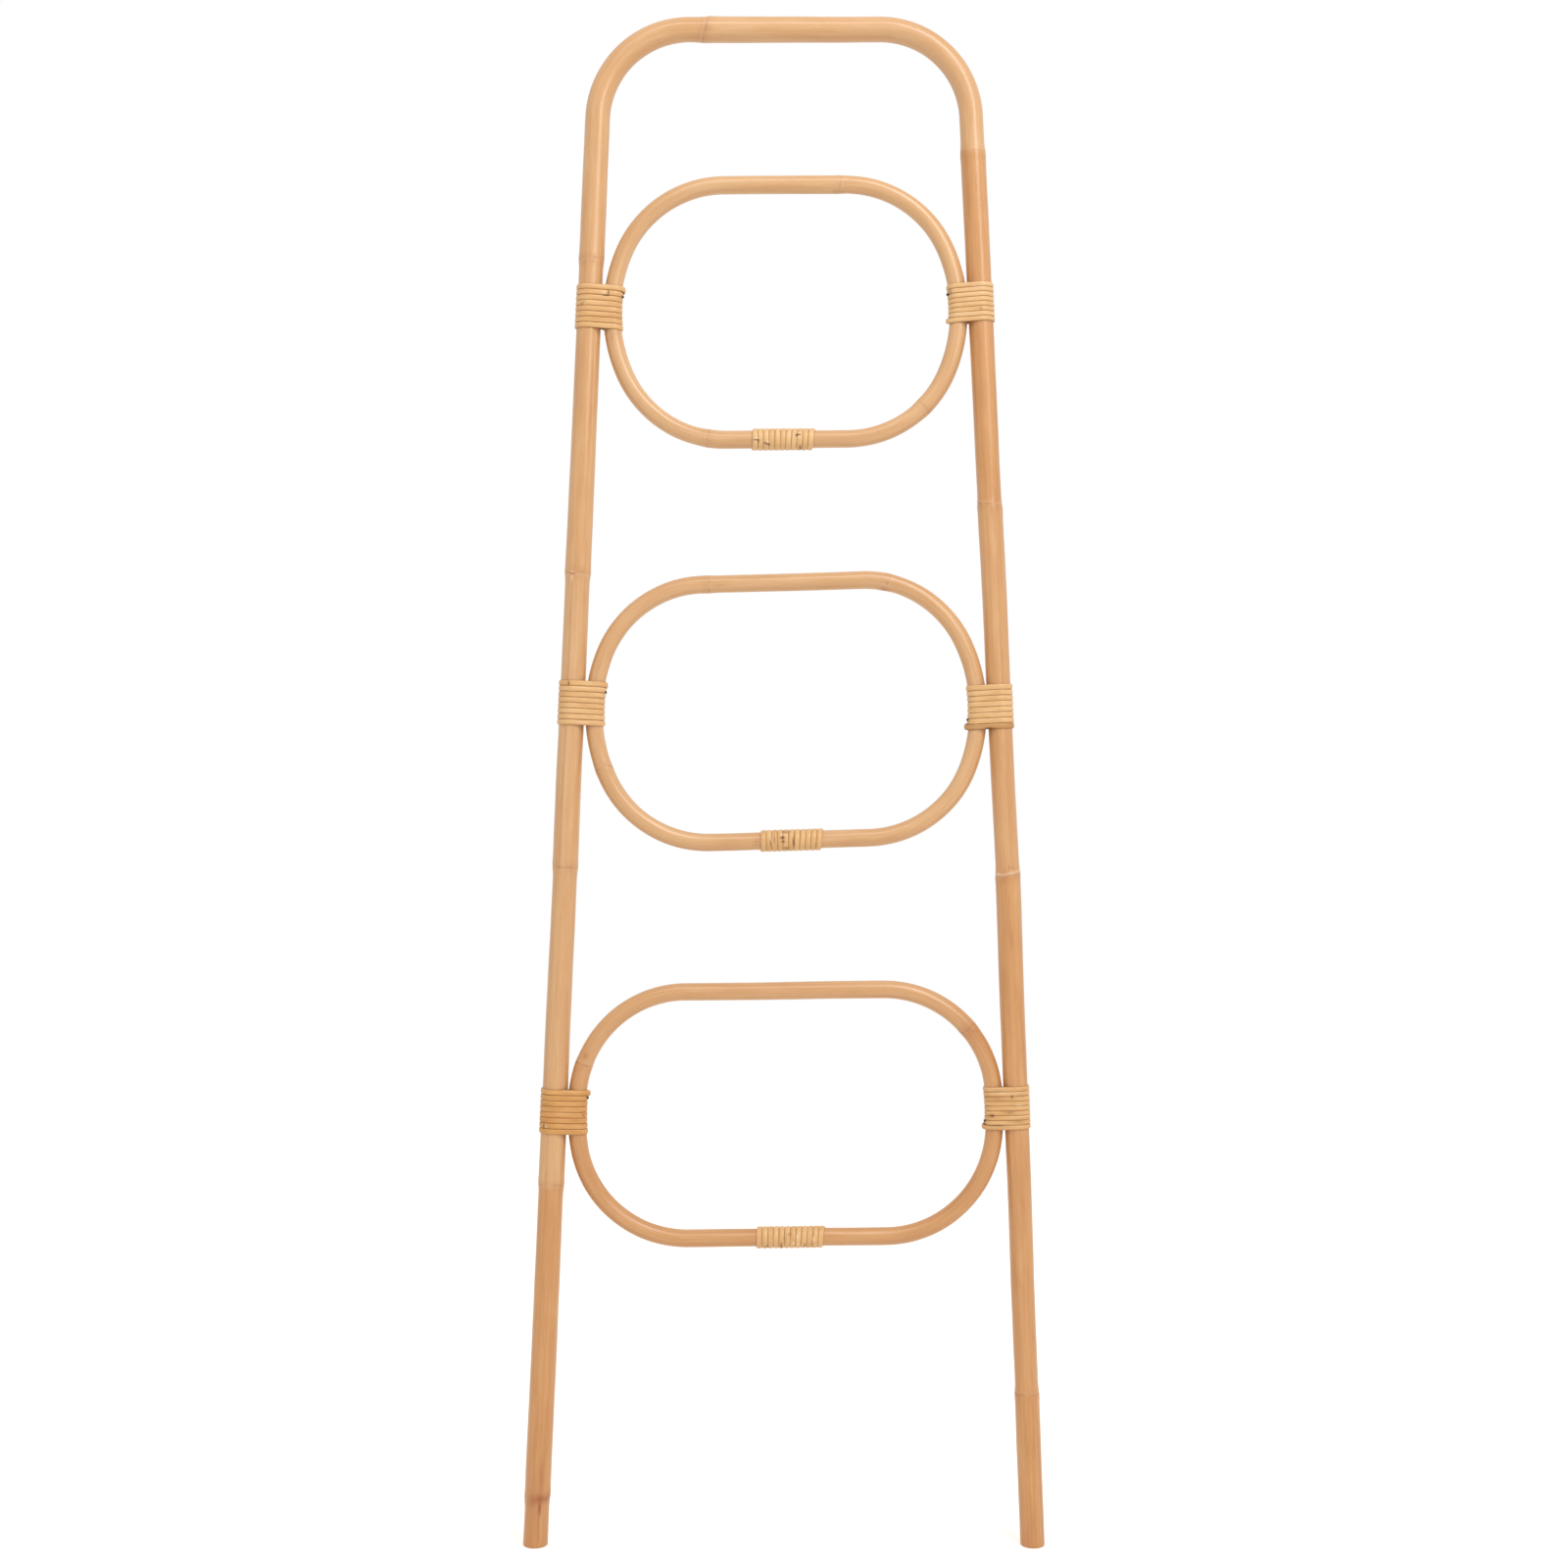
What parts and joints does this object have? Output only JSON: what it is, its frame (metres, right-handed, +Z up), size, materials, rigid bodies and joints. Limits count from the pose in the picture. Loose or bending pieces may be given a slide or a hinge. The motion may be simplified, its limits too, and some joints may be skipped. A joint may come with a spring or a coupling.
{
  "type": "towel stand",
  "caption": "Leaning rattan towel ladder: a bent cane frame with splayed legs carries closed oval cane hoops as towel rails, bound to the legs with wound strips of cane peel.",
  "frame": {"origin": "on the floor, midway between the two feet", "axes": "+Z up, in the plane of the ladder; +X to the right seen from the front; +Y to the wall behind it"},
  "size_m": [0.5801, 0.0325, 1.7],
  "materials": {
    "pole_cane": "satin",
    "hoop_cane": "satin",
    "cane_peel": "satin",
    "fastener_steel": "satin"
  },
  "bodies": {
    "root": {"frame_pole": "pole_cane", "lower_binding_tacks": "fastener_steel", "lower_hoop": "hoop_cane", "lower_hoop_screws": "fastener_steel", "lower_left_binding": "cane_peel", "lower_right_binding": "cane_peel", "lower_splice_binding": "cane_peel", "lower_splice_nails": "fastener_steel", "middle_binding_tacks": "fastener_steel", "middle_hoop": "hoop_cane", "middle_hoop_screws": "fastener_steel", "middle_left_binding": "cane_peel", "middle_right_binding": "cane_peel", "middle_splice_binding": "cane_peel", "middle_splice_nails": "fastener_steel", "upper_binding_tacks": "fastener_steel", "upper_hoop": "hoop_cane", "upper_hoop_screws": "fastener_steel", "upper_left_binding": "cane_peel", "upper_right_binding": "cane_peel", "upper_splice_binding": "cane_peel", "upper_splice_nails": "fastener_steel"}
  },
  "joints": []
}
